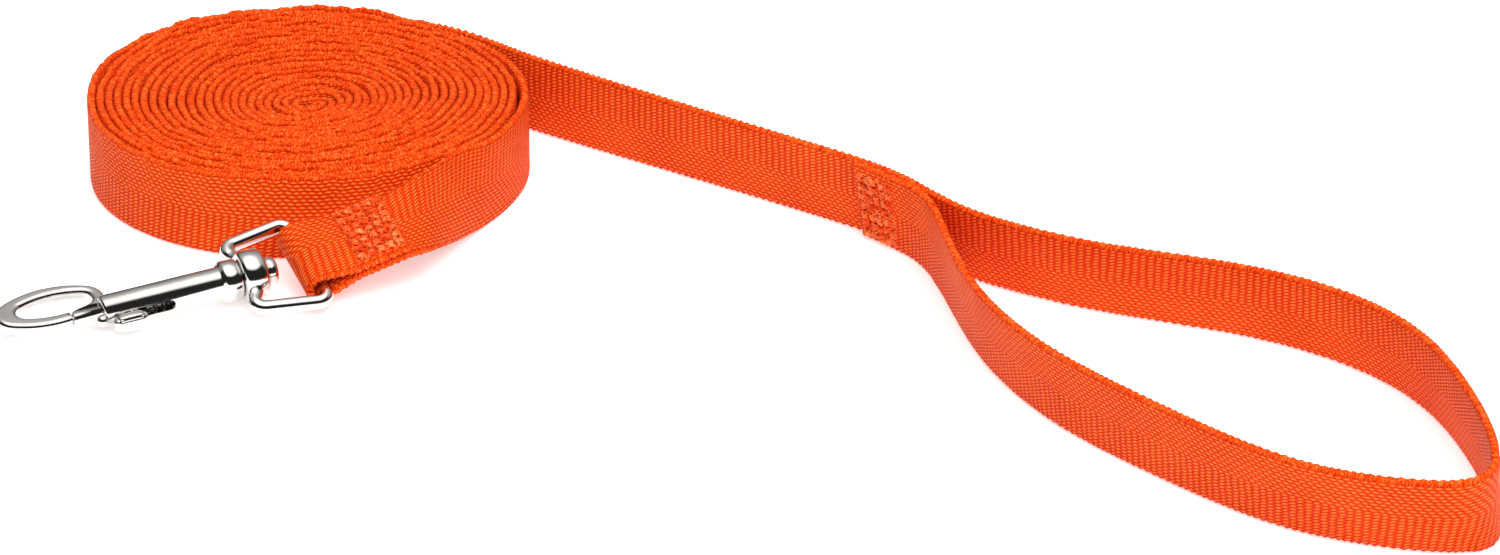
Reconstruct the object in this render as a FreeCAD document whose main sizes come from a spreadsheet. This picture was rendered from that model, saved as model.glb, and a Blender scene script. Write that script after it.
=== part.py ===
import FreeCAD, Part
import math
import os

from FreeCAD import Matrix, Placement, Vector

# Training leash: flat webbing wound on edge into a roll, with a hand loop at
# one end and a swivel bolt snap at the other.
# Millimetres, +Z up. Origin: centre of the roll's underside. +X points from
# the roll towards the hand loop, +Y away from the bolt snap.

os.makedirs("parts", exist_ok=True)
doc = FreeCAD.newDocument("training_leash")

# ---------------------------------------------------------------- dimensions
sheet = doc.addObject("Spreadsheet::Sheet", "dims")
DIMENSIONS = [
    # webbing
    ("web_width", 19.5),
    ("web_thick", 1.9),
    ("layer_gap", 0.1),
    # roll: radius where the handle strand leaves, growth in one turn
    ("roll_radius", 51.3),
    ("roll_growth", 4.0),
    ("exit_angle", 57.0),
    # fold round the eye's bar, and the two sewn seams
    ("fold_bore", 2.05),
    ("hook_seam_start", 9.0),
    ("hook_seam_end", 21.0),
    ("handle_seam_long", 12.5),
    ("seam_margin", 1.6),
    ("thread_wide", 0.8),
    ("thread_proud", 0.35),
    # eye
    ("wire_radius", 1.65),
    ("bar_half", 13.7),
    ("base_half", 10.4),
    ("base_at", 16.6),
    ("corner_radius", 2.4),
    ("neck_half", 4.4),
    ("neck_at", 13.6),
    ("collar_radius", 5.8),
    ("collar_from", 10.6),
    ("collar_to", 16.0),
    # swivel rivet
    ("rivet_radius", 2.5),
    ("rivet_play", 0.06),
    ("rivet_head_radius", 3.2),
    ("rivet_head_from", 7.7),
    ("rivet_head_to", 10.4),
    ("rivet_end", 22.0),
    # hook body: flange, barrel and bore
    ("flange_radius", 4.65),
    ("flange_from", 16.25),
    ("flange_to", 19.8),
    ("barrel_radius", 3.65),
    ("barrel_from", 20.9),
    ("barrel_to", 47.8),
    ("bore_radius", 2.75),
    ("bore_from", 22.6),
    ("bore_to", 46.2),
    # hook: outer and inner ellipses of the flat ring
    ("ring_centre", 57.6),
    ("ring_side", 5.2),
    ("ring_long", 12.3),
    ("ring_wide", 6.95),
    ("ring_end", 5.0),
    ("eyelet_centre", 56.6),
    ("eyelet_long", 8.4),
    ("eyelet_wide", 3.7),
    ("eyelet_end", 2.6),
    ("ring_thick", 3.1),
    ("ring_round", 1.15),
    ("tip_at", 54.6),
    ("bead_radius", 1.35),
    # bolt, its thumb stud and its spring
    ("bolt_radius", 1.55),
    ("bolt_play", 0.08),
    ("bolt_tip", 54.3),
    ("guide_radius", 2.67),
    ("guide_from", 40.2),
    ("guide_to", 45.6),
    ("stud_at", 42.8),
    ("stud_radius", 1.1),
    ("knob_from", 4.1),
    ("knob_to", 7.5),
    ("knob_long", 8.0),
    ("knob_tall", 4.2),
    ("knob_round", 0.9),
    ("slot_half", 1.3),
    ("bolt_travel", 8.0),
    ("spring_radius", 2.1),
    ("spring_wire", 0.5),
    ("spring_turns", 9.0),
]
for row, (alias, value) in enumerate(DIMENSIONS, start=1):
    sheet.set("A%d" % row, alias)
    sheet.set("B%d" % row, repr(value))
    sheet.setAlias("B%d" % row, alias)
doc.recompute()


def dim(alias):
    """One driving dimension, read back from the sheet."""
    return float(sheet.get(alias))


# ------------------------------------------------------------------ placing
# The snap lies on its thumb stud and nose: its axis runs through the middle
# of the eye's bar, and the eye and the hook are rolled about it.
BAR_CENTRE = Vector(4.4, -66.3, 7.4)
SNAP_YAW = 24.0
SNAP_PITCH = 4.0
EYE_ROLL = 17.0
HOOK_ROLL = 10.0
# the sewn end of the webbing leaves the bar a little steeper than the snap
SEAM_YAW = 20.4
SEAM_PITCH = 16.0


def axes_placement(base, x_axis, y_axis):
    """Placement whose local X and Y run along the two given directions."""
    x_axis = Vector(x_axis).normalize()
    z_axis = x_axis.cross(Vector(y_axis)).normalize()
    y_axis = z_axis.cross(x_axis)
    matrix = Matrix(
        x_axis.x, y_axis.x, z_axis.x, base.x,
        x_axis.y, y_axis.y, z_axis.y, base.y,
        x_axis.z, y_axis.z, z_axis.z, base.z,
        0, 0, 0, 1)
    return Placement(matrix)


def heading(yaw, pitch):
    """Unit vector at an angle from +X in plan and an angle above the floor."""
    yaw, pitch = math.radians(yaw), math.radians(pitch)
    return Vector(math.cos(yaw) * math.cos(pitch),
                  math.sin(yaw) * math.cos(pitch), math.sin(pitch))


def rolled(axis, roll):
    """Unit vector square to the axis, on its right, tipped down by roll."""
    right = Vector(axis.y, -axis.x, 0).normalize()
    down = axis.cross(right)
    roll = math.radians(roll)
    return right * math.cos(roll) + down * math.sin(roll)


SNAP_AXIS = heading(SNAP_YAW, SNAP_PITCH)
# local frames: +X from the bar to the nose, +Y to the stud's side
EYE_PLACE = axes_placement(BAR_CENTRE, SNAP_AXIS * -1, rolled(SNAP_AXIS, EYE_ROLL))
HOOK_PLACE = axes_placement(BAR_CENTRE, SNAP_AXIS * -1, rolled(SNAP_AXIS, HOOK_ROLL))
BAR_AXIS = rolled(SNAP_AXIS, EYE_ROLL)
# seam frame: +X from the bar along the webbing, +Z along the bar, +Y up
SEAM_AXIS = heading(SEAM_YAW, SEAM_PITCH)
SEAM_AXIS = (SEAM_AXIS - BAR_AXIS * SEAM_AXIS.dot(BAR_AXIS)).normalize()
SEAM_UP = BAR_AXIS.cross(SEAM_AXIS)
if SEAM_UP.z < 0:
    SEAM_UP = SEAM_UP * -1
SEAM_PLACE = axes_placement(BAR_CENTRE, SEAM_AXIS, SEAM_UP)


# ----------------------------------------------------------- drawing helpers
def new_body(label, placement=None):
    """Empty PartDesign body that will be one node."""
    body = doc.addObject("PartDesign::Body", label)
    body.Label = label
    if placement is not None:
        body.Placement = placement
    return body


def origin_plane(body, role):
    """One of a body's own origin planes, found by its role."""
    return next(o for o in body.Origin.OriginFeatures if o.Role == role)


def new_sketch(body, name, role):
    """Sketch on one of the body's origin planes."""
    sketch = body.newObject("Sketcher::SketchObject", name)
    sketch.AttachmentSupport = [(origin_plane(body, role), "")]
    sketch.MapMode = "FlatFace"
    return sketch


def closed_outline(sketch, points):
    """Closed outline of straight lines through (u, v) points."""
    for start, end in zip(points, points[1:] + points[:1]):
        sketch.addGeometry(Part.LineSegment(Vector(*start, 0), Vector(*end, 0)), False)


def pad(body, name, sketch, length, both_ways=False):
    """Pad whose length is a sheet expression."""
    feature = body.newObject("PartDesign::Pad", name)
    feature.Profile = sketch
    feature.Midplane = both_ways
    feature.setExpression("Length", length)
    return feature


def turned(body, name, kind, outline):
    """Revolution or Groove of a radius profile about the body's X axis."""
    sketch = new_sketch(body, name + "_profile", "XY_Plane")
    closed_outline(sketch, outline)
    feature = body.newObject("PartDesign::" + kind, name)
    feature.Profile = sketch
    feature.ReferenceAxis = (sketch, ["H_Axis"])
    feature.Angle = 360.0
    doc.recompute()
    return feature


# ------------------------------------------------------------ webbing routes
# Route points of the two free strands. Each is (x, y, z) of the centre line
# and the direction in which the webbing's width stands there, as the offset
# (dx, dy, dz) from its lower edge to its upper edge.
def on_roll(radius, angle, height=None):
    """Plan point at a radius and an angle round the roll."""
    angle = math.radians(angle)
    middle = dim("web_width") / 2 if height is None else height
    return (radius * math.cos(angle), radius * math.sin(angle), middle)


UPRIGHT = (0.0, 0.0, 20.0)
HALF_WIDTH = dim("web_width") / 2
EXIT = dim("exit_angle")
HANDLE_START = on_roll(dim("roll_radius") - dim("web_thick") / 2, EXIT - 0.1)
HOOK_START = on_roll(dim("roll_radius") - 1.5 * dim("web_thick") - 0.05, EXIT - 0.1)


def floor_point(x, y, dx, dy):
    """Route point of webbing that stands on its lower edge and leans."""
    rise = math.sqrt(dim("web_width") ** 2 - dx ** 2 - dy ** 2)
    return ((x + dx / 2, y + dy / 2, rise / 2), (dx, dy, rise))


HANDLE_ROUTE = [
    (HANDLE_START, UPRIGHT),
    floor_point(35.0, 37.9, 0.0, 0.0),
    floor_point(49.3, 25.7, -1.0, -1.4),
    floor_point(66.8, 12.4, -1.6, -2.0),
    floor_point(89.8, -4.6, -2.1, -2.8),
    floor_point(108.2, -18.4, -2.4, -3.1),
    floor_point(128.2, -33.8, -2.0, -3.4),
]
SEAM_FROM = floor_point(128.2, -33.8, -2.0, -3.4)
SEAM_TO = floor_point(136.6, -42.8, -1.4, -3.8)
LOOP_ROUTE = [
    SEAM_TO,
    floor_point(142.8, -50.8, -2.0, -4.0),
    floor_point(150.0, -58.8, -2.6, -4.4),
    floor_point(158.8, -65.6, -2.6, -5.0),
    floor_point(174.8, -75.2, -2.6, -5.4),
    floor_point(192.5, -82.2, -2.8, -5.0),
    floor_point(210.2, -89.4, -3.0, -4.4),
    floor_point(225.5, -99.8, -3.2, -3.4),
    floor_point(237.6, -113.0, -3.2, -2.8),
    floor_point(244.8, -127.4, -2.8, -2.8),
    floor_point(248.8, -142.0, -2.6, -3.4),
    floor_point(251.4, -157.0, -2.4, -4.2),
    floor_point(252.6, -170.0, -2.2, -4.8),
    floor_point(252.2, -180.5, -2.0, -5.2),
    floor_point(250.6, -187.0, -2.0, -5.6),
    floor_point(245.8, -191.2, -2.0, -6.2),
    floor_point(236.5, -191.0, -2.0, -6.2),
    floor_point(223.6, -187.6, -2.2, -6.2),
    floor_point(212.0, -182.2, -2.6, -5.6),
    floor_point(201.2, -174.0, -2.8, -4.6),
    floor_point(185.4, -157.6, -2.8, -3.6),
    floor_point(169.0, -138.0, -2.8, -3.2),
    floor_point(159.2, -121.4, -2.8, -3.2),
    floor_point(152.6, -105.4, -2.6, -3.8),
    floor_point(148.8, -91.5, -2.4, -3.9),
    floor_point(146.0, -78.0, -2.0, -3.6),
    floor_point(143.4, -65.0, -1.2, -3.6),
    floor_point(140.4, -53.5, -0.4, -3.8),
]
# the sewn end of the loop lies against the strand's near side
LAP_SHIFT = Vector(SEAM_TO[0][0] - SEAM_FROM[0][0], SEAM_TO[0][1] - SEAM_FROM[0][1], 0)
LAP_SHIFT = Vector(LAP_SHIFT.y, -LAP_SHIFT.x, 0).normalize()
LAP_SHIFT = LAP_SHIFT * (dim("web_thick") + dim("layer_gap"))
if LAP_SHIFT.y > 0:
    LAP_SHIFT = LAP_SHIFT * -1


def shifted(point, shift):
    """A route point moved in plan."""
    (x, y, z), up = point
    return ((x + shift.x, y + shift.y, z), up)


LAP_FROM = shifted(SEAM_TO, LAP_SHIFT)
LAP_TO = shifted(SEAM_FROM, LAP_SHIFT)

# the hook strand stays on the roll for a quarter turn, a little loose, then
# lifts and twists flat as it meets the sewn end behind the eye
HOOK_ROUTE = [
    (HOOK_START, UPRIGHT),
    (on_roll(49.0, 44.0), UPRIGHT),
    (on_roll(49.8, 27.0), UPRIGHT),
    (on_roll(50.2, 9.0), UPRIGHT),
    (on_roll(50.4, -9.0), UPRIGHT),
    (on_roll(50.5, -26.0), UPRIGHT),
    (on_roll(51.0, -36.0, 9.9), (0.0, 1.0, 20.0)),
    ((37.3, -36.9, 11.2), (-0.2, 7.3, 17.6)),
    ((32.4, -46.4, 12.1), (-2.0, 13.7, 12.6)),
    ((28.0, -55.0, 13.3), (-5.1, 15.6, 9.6)),
]


# ------------------------------------------------------------ webbing solids
def stations(route):
    """Places along a route: the ends, and each arc's ends and middle."""
    points = [Vector(*p) for p, _ in route]
    ups = [Vector(*u) for _, u in route]
    places = [(points[0], points[1] - points[0], ups[0])]
    radii = []
    for i in range(1, len(points) - 1):
        inward = points[i] - points[i - 1]
        outward = points[i + 1] - points[i]
        cut = 0.45 * min(inward.Length, outward.Length)
        into = Vector(inward).normalize()
        out = Vector(outward).normalize()
        half_turn = into.getAngle(out) / 2
        radius = cut / math.tan(half_turn)
        bisector = (out - into).normalize()
        sagitta = radius / math.cos(half_turn) - radius
        middle = points[i] + bisector * sagitta
        radii.append(radius)
        before = ups[i] + (ups[i - 1] - ups[i]) * (cut / inward.Length)
        after = ups[i] + (ups[i + 1] - ups[i]) * (cut / outward.Length)
        places.append((points[i] - into * cut, inward, before))
        places.append((middle, into + out, ups[i]))
        places.append((points[i] + out * cut, outward, after))
    places.append((points[-1], points[-1] - points[-2], ups[-1]))
    return places, radii


def grounded(places):
    """The same places with the webbing's lower edge set down on the floor."""
    result = []
    for centre, along, up in places:
        along = Vector(along.x, along.y, 0).normalize()
        up = (up - along * up.dot(along)).normalize()
        across = up.cross(along)
        height = (dim("web_width") * up.z + dim("web_thick") * abs(across.z)) / 2
        result.append((Vector(centre.x, centre.y, height + 0.01), along, up))
    return result


def section_sketch(body, name, place, skewed):
    """Rectangle of the webbing's section, square to the route unless skewed."""
    centre, along, up = place
    along = Vector(along).normalize()
    if not skewed:
        up = up - along * up.dot(along)
    up = Vector(up).normalize()
    across = up.cross(along).normalize()
    sketch = body.newObject("Sketcher::SketchObject", name)
    sketch.Placement = axes_placement(centre, across, up)
    half_t, half_w = dim("web_thick") / 2, dim("web_width") / 2
    corners = [(-half_t, -half_w), (half_t, -half_w), (half_t, half_w), (-half_t, half_w)]
    closed_outline(sketch, corners)
    return sketch


def strap(label, places, radii=(), skewed=False):
    """Webbing as a ruled loft through its sections."""
    body = new_body(label)
    sketches = [section_sketch(body, "%s_section_%02d" % (label, i), place, skewed)
                for i, place in enumerate(places)]
    loft = body.newObject("PartDesign::AdditiveLoft", label + "_loft")
    loft.Profile = sketches[0]
    loft.Sections = sketches[1:]
    loft.Ruled = True
    doc.recompute()
    length = sum((b[0] - a[0]).Length for a, b in zip(places, places[1:]))
    expected = length * dim("web_width") * dim("web_thick")
    print("%s: length %.1f mm, volume ratio %.3f" % (label, length, body.Shape.Volume / expected))
    if radii:
        print("   radii", " ".join("%.0f" % r for r in radii))
    return body, length


nodes = []


def roll_radius(angle):
    """Outer radius of the roll, winding outwards clockwise seen from above.

    angle runs from the exit angle of the handle strand (largest radius)
    counter-clockwise through a full turn.
    """
    turn = (angle - dim("exit_angle")) / 360.0
    return dim("roll_radius") - dim("roll_growth") * turn


def strap_roll():
    """The wound part of the leash, as one solid of its outer shape."""
    body = new_body("strap_roll")
    sketch = new_sketch(body, "roll_outline", "XY_Plane")
    start = dim("exit_angle")
    arcs = 12
    span = 360.0 / arcs

    def at(angle):
        turned_angle = math.radians(angle)
        radius = roll_radius(angle)
        return Vector(radius * math.cos(turned_angle), radius * math.sin(turned_angle), 0)

    for i in range(arcs):
        low = start + i * span
        sketch.addGeometry(Part.Arc(at(low), at(low + span / 2), at(low + span)), False)
    sketch.addGeometry(Part.LineSegment(at(start + 360.0), at(start)), False)
    pad(body, "roll_pad", sketch, "dims.web_width")
    return body


nodes.append(strap_roll())

lengths = {}
handle_places, handle_radii = stations(HANDLE_ROUTE)
handle_places = grounded(handle_places)
body, lengths["handle_strand"] = strap("handle_strand", handle_places, handle_radii)
nodes.append(body)

loop_places, loop_radii = stations([SEAM_FROM] + LOOP_ROUTE + [LAP_FROM, LAP_TO])
loop_places = grounded(loop_places)
# the loop keeps the strand's last section, so the two meet face to face
loop_places[0] = handle_places[-1]
lap_count = 3
body, lengths["hand_loop"] = strap("hand_loop", loop_places[:-lap_count], loop_radii)
nodes.append(body)
body, lengths["handle_lap"] = strap("handle_lap", loop_places[-lap_count - 1:])
nodes.append(body)


# ------------------------------------------------------- sewn end at the eye
def hook_fold():
    """Webbing folded round the eye's bar, with its end laid back on itself."""
    body = new_body("hook_fold", SEAM_PLACE)
    sketch = new_sketch(body, "fold_outline", "XY_Plane")
    thick = dim("web_thick")
    inner = dim("fold_bore")
    outer = inner + thick
    near = dim("layer_gap") / 2
    seam_from, seam_to = dim("hook_seam_start"), dim("hook_seam_end")
    legs = [
        [(seam_to, near), (seam_from, near), (0, inner)],
        [(seam_to, near + thick), (seam_from, near + thick), (0, outer)],
    ]
    for sign in (1, -1):
        for leg in legs:
            for a, b in zip(leg, leg[1:]):
                sketch.addGeometry(Part.LineSegment(Vector(a[0], sign * a[1], 0),
                                                    Vector(b[0], sign * b[1], 0)), False)
        sketch.addGeometry(Part.LineSegment(Vector(seam_to, sign * near, 0),
                                            Vector(seam_to, sign * (near + thick), 0)), False)
    for radius in (inner, outer):
        sketch.addGeometry(Part.Arc(Vector(0, radius, 0), Vector(-radius, 0, 0),
                                    Vector(0, -radius, 0)), False)
    pad(body, "fold_pad", sketch, "dims.web_width", both_ways=True)
    return body


nodes.append(hook_fold())

# the hook strand ends on the fold's lower layer
lower = -(dim("layer_gap") + dim("web_thick")) / 2
SEAM_END = BAR_CENTRE + SEAM_AXIS * (dim("hook_seam_end") + 0.05) + SEAM_UP * lower
SEAM_END_UP = BAR_AXIS * -20.0
hook_places, hook_radii = stations(HOOK_ROUTE + [(tuple(SEAM_END), tuple(SEAM_END_UP))])
hook_places[-1] = (SEAM_END, SEAM_AXIS * -1, SEAM_END_UP)
body, lengths["hook_strand"] = strap("hook_strand", hook_places, hook_radii, skewed=True)
nodes.append(body)


# ------------------------------------------------------------------ stitches
def stitch_grid(label, placement, long, tall, rows, columns):
    """Sewn box of thread bars that passes through two layers of webbing."""
    body = new_body(label, placement)
    sketch = new_sketch(body, label + "_outline", "XY_Plane")
    wide = dim("thread_wide")
    closed_outline(sketch, [(0, -tall / 2), (long, -tall / 2), (long, tall / 2), (0, tall / 2)])
    step_x = (long - wide) / columns
    step_y = (tall - wide) / rows
    for i in range(columns):
        for k in range(rows):
            x, y = wide + i * step_x, wide - tall / 2 + k * step_y
            closed_outline(sketch, [(x, y), (x + step_x - wide, y),
                                    (x + step_x - wide, y + step_y - wide),
                                    (x, y + step_y - wide)])
    feature = pad(body, label + "_pad", sketch, "dims.web_thick", both_ways=True)
    feature.setExpression("Length", "2 * dims.web_thick + dims.layer_gap + 2 * dims.thread_proud")
    return body


sewn_tall = dim("web_width") - 2 * dim("seam_margin")
seam_start = Vector(*SEAM_FROM[0]) + LAP_SHIFT * 0.5
seam_run = Vector(*SEAM_TO[0]) - Vector(*SEAM_FROM[0])
seam_up = Vector(*SEAM_FROM[1])
handle_sewn = dim("handle_seam_long") - 2 * dim("thread_wide")
handle_place = axes_placement(seam_start + Vector(seam_run).normalize() * 0.6, seam_run, seam_up)
nodes.append(stitch_grid("handle_stitching", handle_place, handle_sewn - 0.6, sewn_tall, 5, 3))
hook_sewn = dim("hook_seam_end") - dim("hook_seam_start") - 1.2
hook_place = axes_placement(BAR_CENTRE + SEAM_AXIS * (dim("hook_seam_start") + 0.4),
                            SEAM_AXIS, BAR_AXIS)
nodes.append(stitch_grid("hook_stitching", hook_place, hook_sewn, sewn_tall, 5, 3))


# ----------------------------------------------------------------- snap: eye
def swivel_eye():
    """Wire bail with a bored collar that turns on the rivet."""
    body = new_body("swivel_eye", EYE_PLACE)
    path = new_sketch(body, "eye_path", "XY_Plane")
    side = [(0, dim("bar_half")), (dim("base_at"), dim("base_half")),
            (dim("neck_at"), dim("neck_half"))]
    corners = [Vector(x, y, 0) for x, y in side] + [Vector(x, -y, 0) for x, y in side[::-1]]
    cut_points = []
    for i, corner in enumerate(corners):
        before = (corners[i - 1] - corner).normalize()
        after = (corners[(i + 1) % len(corners)] - corner).normalize()
        half = before.getAngle(after) / 2
        cut = dim("corner_radius") / math.tan(half)
        toward = (before + after).normalize()
        middle = corner + toward * (dim("corner_radius") / math.sin(half) - dim("corner_radius"))
        cut_points.append((corner + before * cut, middle, corner + after * cut))
    # the path starts in the middle of the bar, on the profile's plane
    bar_middle = Vector(0, 0, 0)
    path.addGeometry(Part.LineSegment(bar_middle, cut_points[0][0]), False)
    for i, (start, middle, end) in enumerate(cut_points):
        path.addGeometry(Part.Arc(start, middle, end), False)
        following = cut_points[i + 1][0] if i + 1 < len(corners) else bar_middle
        path.addGeometry(Part.LineSegment(end, following), False)
    wire = new_sketch(body, "wire_section", "XZ_Plane")
    wire.addGeometry(Part.Circle(Vector(0, 0, 0), Vector(0, 0, 1), dim("wire_radius")), False)
    pipe = body.newObject("PartDesign::AdditivePipe", "eye_wire")
    pipe.Profile = wire
    pipe.Spine = path
    doc.recompute()
    bore = dim("rivet_radius") + dim("rivet_play")
    collar = dim("collar_radius")
    start, end = dim("collar_from"), dim("collar_to")
    bevel = 0.7
    turned(body, "collar", "Revolution", [
        (start, 0), (start, collar - bevel), (start + bevel, collar),
        (end - bevel, collar), (end, collar - bevel), (end, 0)])
    turned(body, "collar_bore", "Groove", [(start - 1, 0), (start - 1, bore),
                                           (end + 1, bore), (end + 1, 0)])
    return body


def swivel_rivet():
    """Headed pin that holds the eye's collar to the hook."""
    body = new_body("swivel_rivet", HOOK_PLACE)
    start, under = dim("rivet_head_from"), dim("rivet_head_to")
    head, shank = dim("rivet_head_radius"), dim("rivet_radius")
    bevel = 0.6
    turned(body, "rivet_turned", "Revolution", [
        (start, 0), (start, head - bevel), (start + bevel, head), (under, head),
        (under, shank), (dim("rivet_end"), shank), (dim("rivet_end"), 0)])
    return body


def oval(sketch, centre, long, wide, end_radius):
    """Oval of four tangent arcs with the given half length and half width."""
    side_radius = ((long ** 2 + wide ** 2 - 2 * long * end_radius)
                   / (2 * (wide - end_radius)))
    end_out = long - end_radius
    side_out = side_radius - wide
    slope = Vector(end_out, side_out, 0).normalize() * end_radius
    touch_x, touch_y = end_out + slope.x, slope.y

    def at(x, y):
        return centre + Vector(x, y, 0)

    for sign in (1, -1):
        sketch.addGeometry(Part.Arc(at(sign * touch_x, -touch_y), at(sign * long, 0),
                                    at(sign * touch_x, touch_y)), False)
        sketch.addGeometry(Part.Arc(at(-touch_x, sign * touch_y), at(0, sign * wide),
                                    at(touch_x, sign * touch_y)), False)


def hook_body():
    """Flat hook, barrel and flange in one casting, bored for bolt and rivet."""
    body = new_body("hook_body", HOOK_PLACE)
    ring = new_sketch(body, "ring_outline", "XY_Plane")
    for name in ("ring", "eyelet"):
        centre = Vector(dim(name + "_centre"), -dim("ring_side"), 0)
        oval(ring, centre, dim(name + "_long"), dim(name + "_wide"), dim(name + "_end"))
    ring_pad = pad(body, "ring_pad", ring, "dims.ring_thick", both_ways=True)
    doc.recompute()
    edges = []
    for i, edge in enumerate(ring_pad.Shape.Edges):
        box = edge.BoundBox
        if box.ZLength < 0.01 and abs(abs(box.ZMin) - dim("ring_thick") / 2) < 0.01:
            edges.append("Edge%d" % (i + 1))
    rounding = body.newObject("PartDesign::Fillet", "ring_rounding")
    rounding.Base = (ring_pad, edges)
    rounding.setExpression("Radius", "dims.ring_round")
    doc.recompute()
    flange, barrel = dim("flange_radius"), dim("barrel_radius")
    front = dim("barrel_to")
    bevel = 0.5
    turned(body, "barrel", "Revolution", [
        (dim("flange_from"), 0), (dim("flange_from"), flange - bevel),
        (dim("flange_from") + bevel, flange), (dim("flange_to"), flange),
        (dim("barrel_from"), barrel), (front - bevel, barrel),
        (front, barrel - bevel), (front, 0)])
    bore = dim("bore_radius")
    rivet_hole = dim("rivet_radius") - 0.01
    bolt_hole = dim("bolt_radius") + dim("bolt_play")
    turned(body, "bores", "Groove", [
        (dim("flange_from") - 1, 0), (dim("flange_from") - 1, rivet_hole),
        (dim("bore_from"), rivet_hole), (dim("bore_from"), bore), (dim("bore_to"), bore),
        (dim("bore_to"), bolt_hole), (front + 2, bolt_hole), (front + 2, 0)])
    # the mouth that the bolt closes, between the barrel and the hook's tip
    mouth = new_sketch(body, "mouth_outline", "XY_Plane")
    side = dim("eyelet_wide") - dim("ring_side")
    closed_outline(mouth, [(front, side - 0.2), (dim("tip_at"), side - 0.2),
                           (dim("tip_at"), 4.0), (front, 4.0)])
    opening = body.newObject("PartDesign::Pocket", "mouth")
    opening.Profile = mouth
    opening.Midplane = True
    opening.setExpression("Length", "3 * dims.ring_thick")
    doc.recompute()
    slot = new_sketch(body, "slot_outline", "XZ_Plane")
    half = dim("slot_half")
    rear = dim("stud_at") - dim("bolt_travel") - 1.6
    ahead = dim("stud_at") + 0.2
    # on this plane the sketch's horizontal is the body's X
    slot.addGeometry(Part.LineSegment(Vector(rear, half, 0), Vector(ahead, half, 0)), False)
    slot.addGeometry(Part.LineSegment(Vector(ahead, -half, 0), Vector(rear, -half, 0)), False)
    slot.addGeometry(Part.Arc(Vector(ahead, half, 0), Vector(ahead + half, 0, 0),
                              Vector(ahead, -half, 0)), False)
    slot.addGeometry(Part.Arc(Vector(rear, -half, 0), Vector(rear - half, 0, 0),
                              Vector(rear, half, 0)), False)
    cut = body.newObject("PartDesign::Pocket", "slot")
    cut.Profile = slot
    cut.setExpression("Length", "dims.barrel_radius + 1")
    cut.Reversed = False
    doc.recompute()
    bead = body.newObject("PartDesign::AdditiveSphere", "bead")
    bead.setExpression("Radius", "dims.bead_radius")
    bead.Placement = Placement(Vector(front + 0.6, dim("bolt_radius") + 1.6, 0),
                               FreeCAD.Rotation())
    doc.recompute()
    return body


def bolt():
    """Sliding bolt with a wider guide that runs in the bore."""
    body = new_body("bolt", HOOK_PLACE)
    guide, pin = dim("guide_radius"), dim("bolt_radius")
    start, shoulder, tip = dim("guide_from"), dim("guide_to"), dim("bolt_tip")
    bevel = 0.4
    turned(body, "bolt_turned", "Revolution", [
        (start, 0), (start, guide), (shoulder, guide), (shoulder, pin),
        (tip - bevel, pin), (tip, pin - bevel), (tip, 0)])
    return body


def thumb_stud():
    """Stem and knob that pull the bolt back along the slot."""
    body = new_body("thumb_stud", HOOK_PLACE)
    at = dim("stud_at")
    stem = body.newObject("PartDesign::AdditiveCylinder", "stem")
    stem.setExpression("Radius", "dims.stud_radius")
    stem_from = dim("guide_radius") + 0.02
    stem.Height = dim("knob_from") + 0.5 - stem_from
    stem.Placement = axes_placement(Vector(at, stem_from, 0), Vector(1, 0, 0), Vector(0, 0, -1))
    doc.recompute()
    knob = body.newObject("PartDesign::AdditiveBox", "knob")
    knob.setExpression("Length", "dims.knob_long")
    knob.setExpression("Width", "dims.knob_to - dims.knob_from")
    knob.setExpression("Height", "dims.knob_tall")
    knob.Placement = Placement(Vector(at - dim("knob_long") / 2, dim("knob_from"),
                                      -dim("knob_tall") / 2), FreeCAD.Rotation())
    doc.recompute()
    rounding = body.newObject("PartDesign::Fillet", "knob_rounding")
    outer = dim("knob_to")
    edges = []
    for i, edge in enumerate(knob.Shape.Edges):
        low, high = edge.BoundBox.YMin, edge.BoundBox.YMax
        if high > outer - 0.01 and edge.Curve.TypeId == "Part::GeomLine":
            edges.append("Edge%d" % (i + 1))
    rounding.Base = (knob, edges)
    rounding.setExpression("Radius", "dims.knob_round")
    doc.recompute()
    return body


def bolt_spring():
    """Compression spring behind the bolt."""
    body = new_body("bolt_spring", HOOK_PLACE)
    section = new_sketch(body, "spring_section", "XY_Plane")
    wire = dim("spring_wire") / 2
    rear = dim("bore_from") + wire + 0.05
    ahead = dim("guide_from") - wire - 0.05
    section.addGeometry(Part.Circle(Vector(rear, dim("spring_radius"), 0),
                                    Vector(0, 0, 1), wire), False)
    helix = body.newObject("PartDesign::AdditiveHelix", "spring_coil")
    helix.Profile = section
    helix.ReferenceAxis = (section, ["H_Axis"])
    helix.Mode = 2
    helix.Height = ahead - rear
    helix.setExpression("Turns", "dims.spring_turns")
    doc.recompute()
    return body


nodes += [swivel_eye(), swivel_rivet(), hook_body(), bolt(), thumb_stud(), bolt_spring()]

# ------------------------------------------------------------------- export
doc.recompute()
for thing in doc.Objects:
    if "Invalid" in thing.State or "Error" in thing.State:
        raise RuntimeError("%s is %s" % (thing.Name, thing.State))
print("free lengths:", {k: round(v, 1) for k, v in lengths.items()})
for node in nodes:
    shape = node.Shape
    if shape.isNull() or not shape.isValid():
        raise RuntimeError(node.Label + " has no valid shape")
    box = shape.BoundBox
    print("%-18s solids %d  volume %9.1f  z %6.2f .. %6.2f" % (
        node.Label, len(shape.Solids), shape.Volume, box.ZMin, box.ZMax))
    shape.exportStep("parts/%s.step" % node.Label)
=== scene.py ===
"""Training leash: orange webbing wound on edge into a roll, with a hand loop
at one end and a chrome swivel bolt snap at the other.

Lengths in this file are millimetres and are scaled to metres as each mesh is
made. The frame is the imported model's: origin under the middle of the roll,
+Z up, +X towards the hand loop, +Y away from the snap.
"""

import math
import random

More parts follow.
